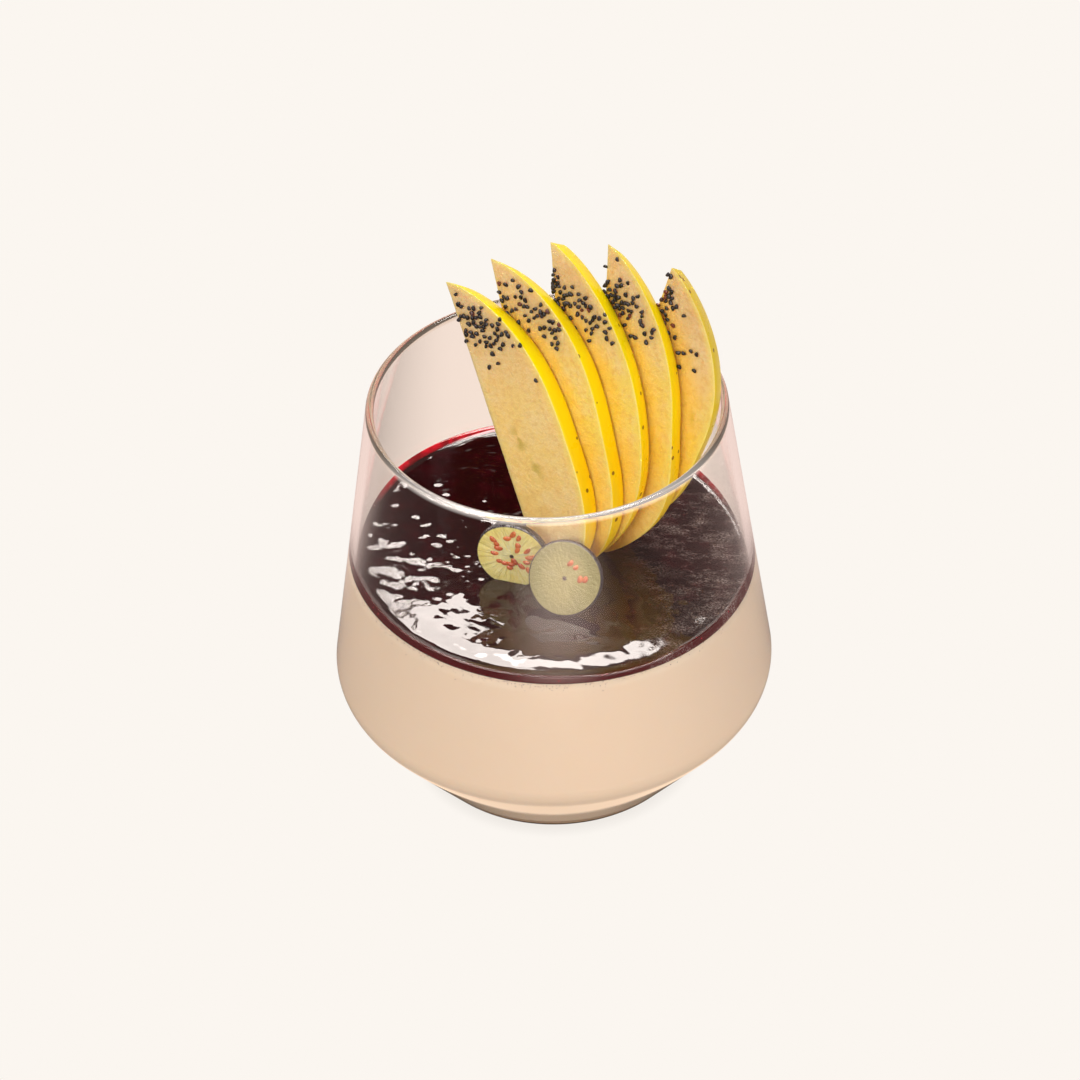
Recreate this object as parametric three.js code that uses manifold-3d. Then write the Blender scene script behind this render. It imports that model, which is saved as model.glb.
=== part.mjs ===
// Panna cotta in a stemless tumbler: cream, a thin dark jam layer, a fan of five
// cheek slices and two round berry slices. Millimetres, +Z up, front towards -Y.
import * as THREE from "three";
import { mergeVertices } from "three/addons/utils/BufferGeometryUtils.js";
import Module from "manifold-3d";

// Fit
const fitGap = 0.3;

// Glass
const glassHeight = 90.4;
const rimRadius = 36.7;
const widestRadius = 46;
const shoulderHeight = 24.4;
const shoulderRound = 6.2;
const baseRadius = 29.1;
const heelRound = 1.6;
const glassWall = 1.7;
const glassFloor = 3.2;
const floorCorner = 5;
const turnSegments = 64;

// Levels of the contents at the middle, and their slope: both set a little lower on the right
const creamLevel = 50.9;
const jamLevel = 52.8;
const levelSlopeX = -0.036;
const levelSlopeY = -0.014;

// Fan of slices: parallel plates, the first one nearest the front left
const fanTurn = 39.8;
const fanTilt = 10.6;
const fanFront = 19;
const sliceThickness = 4.3;
const sliceFootLevel = 51.9;
const roundness = 0.76;
const outlineSteps = 26;

// foot: distance of the lower tip along the plate, lean: degrees from upright to the right,
// chord: length of the straight cut, bulge: depth of the skin side, fullness and peak: its form,
// bulgeLoss and chordLoss: how much smaller the back face is
const slices = [
  { foot: 6.3, lean: -29.7, chord: 66.1, bulge: 18, fullness: 2.96, peak: 0.83, bulgeLoss: 0.2, chordLoss: 3.3 },
  { foot: 5.9, lean: -21.7, chord: 68, bulge: 19.6, fullness: 2.98, peak: 0.84, bulgeLoss: 0.4, chordLoss: 3.7 },
  { foot: 6.6, lean: -12.2, chord: 70.5, bulge: 19.5, fullness: 2.09, peak: 0.92, bulgeLoss: 1.2, chordLoss: 2.9 },
  { foot: 7.4, lean: -4, chord: 70.5, bulge: 18.2, fullness: 2.34, peak: 0.94, bulgeLoss: 0.8, chordLoss: 4.2 },
  { foot: 0.3, lean: 12.4, chord: 69.3, bulge: 20.1, fullness: 2.11, peak: 1.23, bulgeLoss: 1, chordLoss: 3.3 },
];
const footLift = 0.85;

// Berry slices: centre of the front face, turn to the left and lean back in degrees
const berryThickness = 2;
const berryEdgeBulge = 0.35;
const berrySegments = 40;
const frontBerry = { radius: 7.75, centre: [2.5, -19.7, 61], turn: 18, lean: 30 };
const backBerry = { radius: 7.6, centre: [-8.1, -12.2, 60.7], turn: 17, lean: 4 };

const wasm = await Module();
wasm.setup();

const radians = THREE.MathUtils.degToRad;

// Plane of the fan: outward normal, level direction and upward direction
const turn = radians(fanTurn);
const tilt = radians(fanTilt);
const plateNormal = new THREE.Vector3(
  -Math.sin(turn) * Math.cos(tilt),
  -Math.cos(turn) * Math.cos(tilt),
  Math.sin(tilt),
);
const plateAlong = new THREE.Vector3(Math.cos(turn), -Math.sin(turn), 0);
const plateUp = new THREE.Vector3(
  Math.sin(tilt) * Math.sin(turn),
  Math.sin(tilt) * Math.cos(turn),
  Math.cos(tilt),
);

function toSolid(geometry) {
  const bare = geometry.clone();
  bare.deleteAttribute("normal");
  bare.deleteAttribute("uv");
  const merged = mergeVertices(bare, 1e-4);
  return new wasm.Manifold(
    new wasm.Mesh({
      numProp: 3,
      vertProperties: merged.attributes.position.array,
      triVerts: new Uint32Array(merged.index.array),
    }),
  );
}

function toGeometry(solid) {
  const mesh = solid.getMesh();
  const count = mesh.vertProperties.length / mesh.numProp;
  const positions = new Float32Array(count * 3);
  for (let i = 0; i < count; i++)
    for (let k = 0; k < 3; k++) positions[i * 3 + k] = mesh.vertProperties[i * mesh.numProp + k];
  const geometry = new THREE.BufferGeometry();
  geometry.setAttribute("position", new THREE.BufferAttribute(positions, 3));
  geometry.setIndex(Array.from(mesh.triVerts));
  return geometry;
}

// Angle, on a circle about centre, of the point where a line from the given point touches it
function touchAngle(point, centre, radius, side) {
  const dx = point.x - centre.x;
  const dy = point.y - centre.y;
  return Math.atan2(dy, dx) + side * Math.acos(radius / Math.hypot(dx, dy));
}

const shoulderCentre = new THREE.Vector2(widestRadius - shoulderRound, shoulderHeight);
const rimEdge = new THREE.Vector2(rimRadius, glassHeight);
const baseEdge = new THREE.Vector2(baseRadius, 0);
const wallAngle = touchAngle(rimEdge, shoulderCentre, shoulderRound, -1);
const underAngle = touchAngle(baseEdge, shoulderCentre, shoulderRound, 1);

function arc(centre, radius, from, to, steps) {
  const points = [];
  for (let i = 0; i <= steps; i++) {
    const angle = from + ((to - from) * i) / steps;
    points.push(new THREE.Vector2(centre.x + radius * Math.cos(angle), centre.y + radius * Math.sin(angle)));
  }
  return points;
}

// A rounded corner between two straight runs, as a curve through points set back from the corner
function corner(before, at, after, setback, steps) {
  const from = at.clone().add(before.clone().sub(at).setLength(setback));
  const to = at.clone().add(after.clone().sub(at).setLength(setback));
  const points = [];
  for (let i = 0; i <= steps; i++) {
    const t = i / steps;
    points.push(
      new THREE.Vector2(
        from.x * (1 - t) ** 2 + 2 * at.x * t * (1 - t) + to.x * t ** 2,
        from.y * (1 - t) ** 2 + 2 * at.y * t * (1 - t) + to.y * t ** 2,
      ),
    );
  }
  return points;
}

// Half profile of the hollow, set in from the outer face by depth, from the axis up to the height top
function hollowProfile(depth, floor, top) {
  const inner = shoulderRound - depth;
  const shoulder = arc(shoulderCentre, inner, underAngle, wallAngle, 8);
  const low = shoulder[0];
  const floorEdge = new THREE.Vector2(low.x + Math.tan(underAngle) * (low.y - floor), floor);
  const high = shoulder[shoulder.length - 1];
  const wallX = high.x - Math.tan(wallAngle) * (top - high.y);
  return [
    new THREE.Vector2(0, floor),
    ...corner(new THREE.Vector2(0, floor), floorEdge, low, floorCorner, 5),
    ...shoulder,
    new THREE.Vector2(wallX, top),
  ];
}

// A half profile turned about +Z
function turned(profile, segments) {
  return new THREE.LatheGeometry(profile, segments).rotateX(Math.PI / 2);
}

function glassGeometry() {
  const lip = glassWall / 2;
  const rimCentre = new THREE.Vector2(
    rimRadius - lip * Math.cos(wallAngle),
    glassHeight - lip,
  );
  const hollow = hollowProfile(glassWall, glassFloor, rimCentre.y);
  hollow.pop();
  const outer = [
    new THREE.Vector2(0, 0),
    ...corner(new THREE.Vector2(0, 0), baseEdge, shoulderCentre.clone().setX(widestRadius), heelRound, 3),
    ...arc(shoulderCentre, shoulderRound, underAngle, wallAngle, 10),
    ...arc(rimCentre, lip, wallAngle, wallAngle + Math.PI, 8),
  ];
  return turned([...outer, ...hollow.reverse()], turnSegments);
}

// The space that the contents can fill, closed above by a flat top
function fillSolid() {
  const profile = hollowProfile(glassWall + fitGap, glassFloor + fitGap, jamLevel + 10);
  profile.push(new THREE.Vector2(0, jamLevel + 10));
  return toSolid(turned(profile, turnSegments));
}

// Everything below a sloping level
function belowLevel(level) {
  const size = 4 * widestRadius;
  const block = new THREE.BoxGeometry(size, size, size);
  block.translate(0, 0, -size / 2);
  const corners = block.attributes.position;
  for (let i = 0; i < corners.count; i++) {
    const slope = levelSlopeX * corners.getX(i) + levelSlopeY * corners.getY(i);
    corners.setZ(i, corners.getZ(i) + level + slope);
  }
  return toSolid(block);
}

// Outline of a slice in its plate: [along, up] from the lower tip round the skin to the upper tip
function sliceOutline(slice, start, chord, bulge, sideShift) {
  const lean = radians(slice.lean);
  const points = [];
  for (let i = 0; i <= outlineSteps; i++) {
    const t = 0.5 - 0.5 * Math.cos((Math.PI * i) / outlineSteps);
    const across = 2 * t ** slice.peak - 1;
    const depth = bulge * Math.max(0, 1 - Math.abs(across) ** slice.fullness) ** roundness - sideShift;
    const height = start + chord * t;
    points.push([
      height * Math.sin(lean) + depth * Math.cos(lean),
      height * Math.cos(lean) - depth * Math.sin(lean),
    ]);
  }
  return points;
}

// A slice as a solid, grown on every side by the given margin
function sliceGeometry(index, margin) {
  const slice = slices[index];
  const front = fanFront - index * (sliceThickness + fitGap);
  const footUp = (sliceFootLevel - front * plateNormal.z) / plateUp.z;
  const faces = [
    {
      offset: front + margin,
      outline: sliceOutline(slice, -2 * margin, slice.chord + 4 * margin, slice.bulge + 2 * margin, margin),
    },
    {
      offset: front - sliceThickness - margin,
      outline: sliceOutline(
        slice,
        footLift - 2 * margin,
        slice.chord - slice.chordLoss + 4 * margin,
        slice.bulge - slice.bulgeLoss + 2 * margin,
        margin,
      ),
    },
  ];
  const positions = [];
  for (const face of faces)
    for (const [along, up] of face.outline) {
      const point = plateNormal
        .clone()
        .multiplyScalar(face.offset)
        .addScaledVector(plateAlong, slice.foot + along)
        .addScaledVector(plateUp, footUp + up);
      positions.push(point.x, point.y, point.z);
    }
  const count = outlineSteps + 1;
  const triangles = [];
  for (let i = 1; i < count - 1; i++) {
    triangles.push(0, i, i + 1);
    triangles.push(count, count + i + 1, count + i);
  }
  for (let i = 0; i < count; i++) {
    const next = (i + 1) % count;
    triangles.push(i, count + i, next);
    triangles.push(next, count + i, count + next);
  }
  const geometry = new THREE.BufferGeometry();
  geometry.setAttribute("position", new THREE.Float32BufferAttribute(positions, 3));
  geometry.setIndex(triangles);
  return geometry;
}

// A round berry slice with a slightly domed skin edge, grown by the given margin
function berryGeometry(berry, margin) {
  const half = berryThickness / 2 + margin;
  const radius = berry.radius + margin;
  const rimSteps = 4;
  const profile = [new THREE.Vector2(0, -half)];
  for (let i = 0; i <= rimSteps; i++) {
    const across = (2 * i) / rimSteps - 1;
    profile.push(new THREE.Vector2(radius - berryEdgeBulge * across ** 2, half * across));
  }
  profile.push(new THREE.Vector2(0, half));
  const geometry = new THREE.LatheGeometry(profile, berrySegments);
  geometry.translate(0, -half + margin, 0);
  geometry.rotateX(Math.PI - radians(berry.lean));
  geometry.rotateZ(-radians(berry.turn));
  geometry.translate(...berry.centre);
  return geometry;
}

function looks(color, roughness, metalness) {
  return new THREE.MeshStandardMaterial({ color, roughness, metalness });
}

const group = new THREE.Group();
group.name = "panna_cotta";

function place(name, geometry, material) {
  const mesh = new THREE.Mesh(geometry, material);
  mesh.name = name;
  group.add(mesh);
}

const cream = fillSolid().intersect(belowLevel(creamLevel));
let jam = fillSolid().intersect(belowLevel(jamLevel)).subtract(belowLevel(creamLevel + fitGap));
for (let i = 0; i < slices.length; i++) jam = jam.subtract(toSolid(sliceGeometry(i, fitGap)));
for (const berry of [frontBerry, backBerry]) jam = jam.subtract(toSolid(berryGeometry(berry, fitGap)));

place("glass", glassGeometry(), looks(0xe6ecec, 0.05, 0));
place("cream", toGeometry(cream), looks(0xecd2b4, 0.45, 0));
place("jam", toGeometry(jam), looks(0x260402, 0.12, 0));
for (let i = 0; i < slices.length; i++)
  place(`fruit_slice_${i + 1}`, sliceGeometry(i, 0), looks(0xf2c470, 0.4, 0));
place("berry_slice_front", berryGeometry(frontBerry, 0), looks(0xb4a878, 0.35, 0));
place("berry_slice_back", berryGeometry(backBerry, 0), looks(0xc8b876, 0.35, 0));

export default group;
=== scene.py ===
import math
import random

import bpy
import numpy as np
from mathutils import Matrix, Vector, noise


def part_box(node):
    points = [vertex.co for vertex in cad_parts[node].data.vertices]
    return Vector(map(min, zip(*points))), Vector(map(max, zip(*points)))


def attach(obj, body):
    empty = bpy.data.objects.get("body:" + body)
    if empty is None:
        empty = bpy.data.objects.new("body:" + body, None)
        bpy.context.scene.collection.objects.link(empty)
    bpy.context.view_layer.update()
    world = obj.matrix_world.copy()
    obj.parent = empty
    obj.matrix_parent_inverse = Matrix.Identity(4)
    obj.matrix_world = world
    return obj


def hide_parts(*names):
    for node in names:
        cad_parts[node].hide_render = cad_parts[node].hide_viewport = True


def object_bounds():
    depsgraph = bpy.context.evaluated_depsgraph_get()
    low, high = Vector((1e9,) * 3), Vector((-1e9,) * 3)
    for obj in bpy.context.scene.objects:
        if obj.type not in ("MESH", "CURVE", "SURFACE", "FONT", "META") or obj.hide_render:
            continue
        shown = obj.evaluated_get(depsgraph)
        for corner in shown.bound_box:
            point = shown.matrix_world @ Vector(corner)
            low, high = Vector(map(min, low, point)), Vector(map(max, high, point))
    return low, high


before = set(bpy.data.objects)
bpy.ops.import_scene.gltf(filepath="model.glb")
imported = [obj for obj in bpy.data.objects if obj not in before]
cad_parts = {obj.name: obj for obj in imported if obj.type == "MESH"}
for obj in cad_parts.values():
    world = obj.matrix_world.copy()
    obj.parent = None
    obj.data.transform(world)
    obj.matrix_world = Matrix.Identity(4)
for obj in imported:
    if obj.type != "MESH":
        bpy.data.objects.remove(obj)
cadLow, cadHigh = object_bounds()
mm = 0.001
glassLow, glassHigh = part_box("glass")
print("frame loaded, glass", round((glassHigh.z - glassLow.z) / mm, 1), "mm tall")


def srgb(red, green, blue):
    def lin(c):
        c = c / 255
        return c / 12.92 if c <= 0.04045 else ((c + 0.055) / 1.055) ** 2.4
    return (lin(red), lin(green), lin(blue), 1.0)


def smooth(low, high, x):
    t = np.clip((x - low) / (high - low), 0, 1)
    return t * t * (3 - 2 * t)


def fbm(x, y, z, octaves=3):
    return noise.fractal(Vector((x, y, z)), 0.9, 2.0, octaves)


def addPiece(name, verts, faces, materials, body="root", materialIndex=None):
    mesh = bpy.data.meshes.new(name)
    mesh.from_pydata([tuple(v) for v in verts], [], [tuple(f) for f in faces])
    for material in materials:
        mesh.materials.append(material)
    if materialIndex is not None:
        mesh.polygons.foreach_set("material_index", np.asarray(materialIndex, np.int32))
    mesh.polygons.foreach_set("use_smooth", [True] * len(mesh.polygons))
    mesh.update()
    piece = bpy.data.objects.new(name, mesh)
    bpy.context.scene.collection.objects.link(piece)
    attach(piece, body)
    return piece


def addMask(piece, name, values):
    layer = piece.data.attributes.new(name, "FLOAT", "POINT")
    layer.data.foreach_set("value", np.asarray(values, np.float32))


def turnedGrid(rings, segments):
    # rings of (radius, height) functions of the angle, joined into one closed skin
    angles = np.arange(segments) * 2 * math.pi / segments
    verts, starts = [], []
    for ring in rings:
        radius, height = ring(angles)
        starts.append(len(verts))
        if np.max(radius) < 1e-7:
            verts.append((0, 0, float(np.mean(height))))
        else:
            verts += list(zip(radius * np.cos(angles), radius * np.sin(angles), height))
    faces = []
    for a in range(len(rings) - 1):
        one, two = starts[a], starts[a + 1]
        oneSize = starts[a + 1] - starts[a]
        twoSize = (starts[a + 2] if a + 2 < len(starts) else len(verts)) - two
        for i in range(segments):
            j = (i + 1) % segments
            if oneSize == 1 and twoSize == 1:
                continue
            if oneSize == 1:
                faces.append((one, two + j, two + i))
            elif twoSize == 1:
                faces.append((one + i, one + j, two))
            else:
                faces.append((one + i, one + j, two + j, two + i))
    return verts, faces


def flat(value):
    return lambda angles: (np.full_like(angles, value[0]), np.full_like(angles, value[1]))


def band(one, two):
    # faces between two closed rows of point numbers
    count = len(one)
    return [(one[k], two[k], two[(k + 1) % count], one[(k + 1) % count]) for k in range(count)]


class Nodes:
    # a short way to write a material's node tree
    def __init__(self, tree):
        self.tree = tree
        self.column = 0

    def add(self, kind, values=None, **settings):
        node = self.tree.nodes.new(kind)
        node.location = (self.column * 40 - 900, -(self.column % 7) * 160)
        self.column += 1
        for key, value in settings.items():
            setattr(node, key, value)
        for key, value in (values or {}).items():
            if isinstance(value, bpy.types.NodeSocket):
                self.tree.links.new(value, node.inputs[key])
            else:
                node.inputs[key].default_value = value
        return node

    def math(self, operation, a, b=0.0):
        return self.add("ShaderNodeMath", {0: a, 1: b}, operation=operation).outputs[0]

    def mix(self, amount, a, b):
        # sockets 0, 6 and 7 are the share and the two colours
        return self.add("ShaderNodeMix", {0: amount, 6: a, 7: b}, data_type="RGBA").outputs[2]

    def ramp(self, value, low, high, toLow=0.0, toHigh=1.0):
        node = self.add(
            "ShaderNodeMapRange", {0: value, 1: low, 2: high, 3: toLow, 4: toHigh},
            interpolation_type="SMOOTHSTEP",
        )
        return node.outputs[0]

    def blobs(self, scale, detail=2.0, stretch=None, rough=0.5):
        place = self.add("ShaderNodeTexCoord").outputs["Object"]
        if stretch:
            place = self.add("ShaderNodeMapping", {"Vector": place, "Scale": stretch}).outputs[0]
        return self.add(
            "ShaderNodeTexNoise",
            {"Vector": place, "Scale": scale, "Detail": detail, "Roughness": rough},
        ).outputs["Fac"]

    def dots(self, scale):
        # distance from the nearest of many scattered points
        place = self.add("ShaderNodeTexCoord").outputs["Object"]
        return self.add("ShaderNodeTexVoronoi", {"Vector": place, "Scale": scale}).outputs["Distance"]

    def place(self):
        # x, y and z of the point that is shaded
        place = self.add("ShaderNodeTexCoord").outputs["Object"]
        return self.add("ShaderNodeSeparateXYZ", {0: place}).outputs

    def mask(self, name):
        return self.add("ShaderNodeAttribute", attribute_name=name).outputs["Fac"]

    def bump(self, height, strength, distance):
        values = {"Height": height, "Strength": strength, "Distance": distance}
        return self.add("ShaderNodeBump", values).outputs[0]


def newMaterial(name):
    material = bpy.data.materials.new(name)
    material.use_nodes = True
    material.node_tree.nodes.clear()
    nodes = Nodes(material.node_tree)
    surface = nodes.add("ShaderNodeBsdfPrincipled")
    output = nodes.add("ShaderNodeOutputMaterial")
    nodes.tree.links.new(surface.outputs[0], output.inputs[0])
    return material, nodes, surface


def feed(nodes, surface, **sockets):
    # sets or links the shader's sockets by short names
    names = {"color": "Base Color", "roughness": "Roughness", "normal": "Normal", "ior": "IOR",
             "coat": "Coat Weight", "coatRoughness": "Coat Roughness", "specular": "Specular IOR Level",
             "subsurface": "Subsurface Weight", "subsurfaceRadius": "Subsurface Radius",
             "subsurfaceScale": "Subsurface Scale", "transmission": "Transmission Weight",
             "glow": "Emission Color"}
    for key, value in sockets.items():
        socket = surface.inputs[names[key]]
        if isinstance(value, bpy.types.NodeSocket):
            nodes.tree.links.new(value, socket)
        else:
            socket.default_value = value


def makeGrainGroup():
    # fine moist grain: a height and a mottle mask, used by flesh, cream and berries
    tree = bpy.data.node_groups.new("moistGrain", "ShaderNodeTree")
    for name, kind in (("Size", "NodeSocketFloat"), ("Stretch", "NodeSocketVector")):
        tree.interface.new_socket(name, in_out="INPUT", socket_type=kind)
    for name in ("Height", "Mottle"):
        tree.interface.new_socket(name, in_out="OUTPUT", socket_type="NodeSocketFloat")
    nodes = Nodes(tree)
    source = nodes.add("NodeGroupInput")
    sink = nodes.add("NodeGroupOutput")
    place = nodes.add("ShaderNodeTexCoord").outputs["Object"]
    size, stretch = source.outputs["Size"], source.outputs["Stretch"]
    place = nodes.add("ShaderNodeVectorMath", {0: place, 1: stretch}, operation="MULTIPLY").outputs[0]
    fine = nodes.add(
        "ShaderNodeTexNoise", {"Vector": place, "Scale": size, "Detail": 3.0, "Roughness": 0.6},
    ).outputs["Fac"]
    wide = nodes.add(
        "ShaderNodeTexNoise",
        {"Vector": place, "Scale": nodes.math("MULTIPLY", size, 0.12), "Detail": 4.0, "Roughness": 0.55},
    ).outputs["Fac"]
    nodes.tree.links.new(fine, sink.inputs["Height"])
    mottle = nodes.math("ADD", nodes.math("MULTIPLY", fine, 0.35), nodes.math("MULTIPLY", wide, 0.65))
    nodes.tree.links.new(mottle, sink.inputs["Mottle"])
    return tree


grainGroup = makeGrainGroup()


def grain(nodes, size, stretch=(1, 1, 1)):
    node = nodes.add("ShaderNodeGroup")
    node.node_tree = grainGroup
    node.inputs["Size"].default_value = size
    node.inputs["Stretch"].default_value = stretch
    return node.outputs["Height"], node.outputs["Mottle"]


cameraPlan = {"distance": 0.8755, "elevation": 41.184, "aimHeight": 0.042, "lens": 139.64,
              "lookDown": 40.576, "heading": 0.196, "roll": -1.733}


def makeCamera(plan):
    data = bpy.data.cameras.new("camera")
    data.lens = plan["lens"]
    data.sensor_width = 36
    data.clip_start, data.clip_end = 0.01, 50
    camera = bpy.data.objects.new("camera", data)
    bpy.context.scene.collection.objects.link(camera)
    lift = math.radians(plan["elevation"])
    camera.location = (
        0, -plan["distance"] * math.cos(lift), plan["aimHeight"] + plan["distance"] * math.sin(lift),
    )
    turn = Matrix.Rotation(math.radians(plan["heading"]), 4, "Z")
    dip = Matrix.Rotation(math.radians(90 - plan["lookDown"]), 4, "X")
    roll = Matrix.Rotation(math.radians(plan["roll"]), 4, "Z")
    camera.rotation_mode = "QUATERNION"
    camera.rotation_quaternion = (turn @ dip @ roll).to_quaternion()
    bpy.context.scene.camera = camera


makeCamera(cameraPlan)
print("camera set")


glassPlan = {"rimRadius": 0.0367, "shoulderHeight": 0.0244, "shoulderRound": 0.0062, "baseRadius": 0.0291,
             "heelRound": 0.0016, "wall": 0.0017, "floor": 0.0013, "floorCorner": 0.0009, "segments": 360,
             "ior": 1.3, "tint": (0.985, 0.985, 0.975, 1), "heelShade": (0.42, 0.33, 0.26, 1),
             "letIn": (0.97, 0.965, 0.95, 1),
             "rimTint": (0.92, 0.9, 0.87, 1), "rimShade": (0.52, 0.46, 0.40, 1),
             "rimSide": (0.15, 0.115, 0.088, 1), "rimFront": (0.42, 0.39, 0.36, 1)}
glassHeight = glassHigh.z - glassLow.z
widestRadius = (glassHigh.x - glassLow.x) / 2
shoulderCentre = (widestRadius - glassPlan["shoulderRound"], glassPlan["shoulderHeight"])


def touchAngle(point, side):
    dx, dz = point[0] - shoulderCentre[0], point[1] - shoulderCentre[1]
    return math.atan2(dz, dx) + side * math.acos(glassPlan["shoulderRound"] / math.hypot(dx, dz))


wallAngle = touchAngle((glassPlan["rimRadius"], glassHeight), -1)
underAngle = touchAngle((glassPlan["baseRadius"], 0), 1)


def arc(centre, radius, start, end, steps):
    return [(centre[0] + radius * math.cos(start + (end - start) * i / steps),
             centre[1] + radius * math.sin(start + (end - start) * i / steps)) for i in range(steps + 1)]


def corner(before, at, after, setback, steps):
    one = Vector(at) + (Vector(before) - Vector(at)).normalized() * setback
    two = Vector(at) + (Vector(after) - Vector(at)).normalized() * setback
    points = []
    for i in range(steps + 1):
        t = i / steps
        points.append(tuple(one * (1 - t) ** 2 + Vector(at) * 2 * t * (1 - t) + two * t * t))
    return points


def shoulderArc(depth, steps):
    return arc(shoulderCentre, glassPlan["shoulderRound"] - depth, underAngle, wallAngle, steps)


def wallRadius(height, depth):
    # radius of the straight wall, set in from the outer face by depth
    low = shoulderArc(depth, 1)[-1]
    return low[0] - math.tan(wallAngle) * (height - low[1])


def eased(points, near=0.0002, step=0.004):
    # extra rings on the long straight runs, so that the shading stays true next to the bends
    result = [points[0]]
    for one, two in zip(points[:-1], points[1:]):
        length = math.hypot(two[0] - one[0], two[1] - one[1])
        shares = [1.0]
        if length > 0.0015:
            count = max(1, int(length / step))
            shares = sorted({near / length, 1 - near / length, 1.0, *[i / count for i in range(1, count)]})
        result += [(one[0] + (two[0] - one[0]) * s, one[1] + (two[1] - one[1]) * s) for s in shares]
    return result


def hollowProfile(depth, floor):
    # from the axis to the top of the shoulder
    shoulder = shoulderArc(depth, 18)
    edge = (shoulder[0][0] + math.tan(underAngle) * (shoulder[0][1] - floor), floor)
    points = [(0, floor), (edge[0] * 0.5, floor)]
    points += corner((0, floor), edge, shoulder[0], glassPlan["floorCorner"], 12)
    return points + shoulder


def makeGlassMaterial():
    material, nodes, surface = newMaterial("clearGlass")
    grease = nodes.blobs(60, 3)
    y, z = nodes.place()[1:]
    # painted shade: darker where the thick heel gathers the shade; painted highlight: a soft glow in the rounded
    # rim, brighter in front, with painted shade at the sides
    heel = nodes.ramp(z, 0.0056, 0.0040)
    rim = nodes.ramp(z, glassHeight - 0.0016, glassHeight - 0.0006)
    color = nodes.mix(heel, glassPlan["tint"], glassPlan["heelShade"])
    frontness = nodes.ramp(y, -0.012, -0.030)
    color = nodes.mix(rim, color, nodes.mix(frontness, glassPlan["rimShade"], glassPlan["rimTint"]))
    glow = nodes.mix(frontness, glassPlan["rimSide"], glassPlan["rimFront"])
    glow = nodes.mix(rim, (0, 0, 0, 1), glow)
    feed(nodes, surface, color=color, ior=glassPlan["ior"], transmission=1.0, glow=glow,
         roughness=nodes.ramp(grease, 0.35, 0.8, 0.0, 0.02))
    surface.inputs["Emission Strength"].default_value = 1.0
    material.cycles.emission_sampling = "NONE"
    # light for the contents passes straight in
    clear = nodes.add("ShaderNodeBsdfTransparent", {"Color": glassPlan["letIn"]})
    path = nodes.add("ShaderNodeLightPath")
    passes = nodes.math("MAXIMUM", path.outputs["Is Shadow Ray"], path.outputs["Is Diffuse Ray"])
    mixed = nodes.add("ShaderNodeMixShader", {0: passes, 1: surface.outputs[0], 2: clear.outputs[0]})
    nodes.tree.links.new(mixed.outputs[0], nodes.tree.get_output_node("ALL").inputs[0])
    return material


def makeGlass():
    plan = glassPlan
    lip = plan["wall"] / 2
    rimCentre = (plan["rimRadius"] - lip * math.cos(wallAngle), glassHeight - lip)
    profile = [(0, 0), (plan["baseRadius"] * 0.5, 0)]
    widest = (widestRadius, plan["shoulderHeight"])
    profile += corner((0, 0), (plan["baseRadius"], 0), widest, plan["heelRound"], 8)
    profile += shoulderArc(0, 24)
    profile += arc(rimCentre, lip, wallAngle, wallAngle + math.pi, 26)
    profile += list(reversed(hollowProfile(plan["wall"], plan["floor"])))
    verts, faces = turnedGrid([flat(p) for p in eased(profile)], plan["segments"])
    piece = addPiece("glassBowl", verts, faces, [makeGlassMaterial()])
    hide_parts("glass")


makeGlass()
print("glass made")


levelPlan = {"cream": 0.0509, "jam": 0.0528, "slopeX": -0.036, "slopeY": -0.014}


def levelAt(name, x, y):
    return levelPlan[name] + levelPlan["slopeX"] * x + levelPlan["slopeY"] * y


def wallMeets(name, angles, depth, lift=0.0):
    # radius and height where a sloping level meets the wall
    height = np.full_like(angles, levelPlan[name])
    for i in range(4):
        radius = np.array([wallRadius(h, depth) for h in height])
        height = levelAt(name, radius * np.cos(angles), radius * np.sin(angles)) + lift
    return radius, height


creamPlan = {"reach": 0.0003, "segments": 160, "sideSteps": 10, "topRings": (0.97, 0.8, 0.55, 0.3, 0.0),
             "color": srgb(236, 213, 190), "deep": srgb(236, 212, 188), "mottle": srgb(222, 190, 158),
             "pale": srgb(246, 220, 194), "foot": srgb(104, 82, 64)}


def makeCreamMaterial():
    material, nodes, surface = newMaterial("setCream")
    height, mottle = grain(nodes, 900)
    wide = nodes.blobs(28, 3)
    up = nodes.place()[2]
    low = nodes.ramp(up, 0.004, 0.045, 1.0, 0.0)
    color = nodes.mix(low, creamPlan["color"], creamPlan["deep"])
    color = nodes.mix(nodes.ramp(mottle, 0.35, 0.75, 0.0, 0.10), color, creamPlan["mottle"])
    color = nodes.mix(nodes.ramp(wide, 0.4, 0.7, 0.0, 0.18), color, creamPlan["pale"])
    # painted shade: the cream turns dark brown at its very bottom, where it sits on the glass floor
    foot = nodes.ramp(up, glassPlan["floor"] + 0.0009, glassPlan["floor"])
    color = nodes.mix(foot, color, creamPlan["foot"])
    feed(nodes, surface, color=color, roughness=nodes.ramp(mottle, 0.3, 0.7, 0.38, 0.5),
         normal=nodes.bump(height, 0.12, 0.0001), subsurface=0.35, subsurfaceScale=0.004,
         subsurfaceRadius=(1.0, 0.7, 0.45), specular=0.3)
    return material


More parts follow.
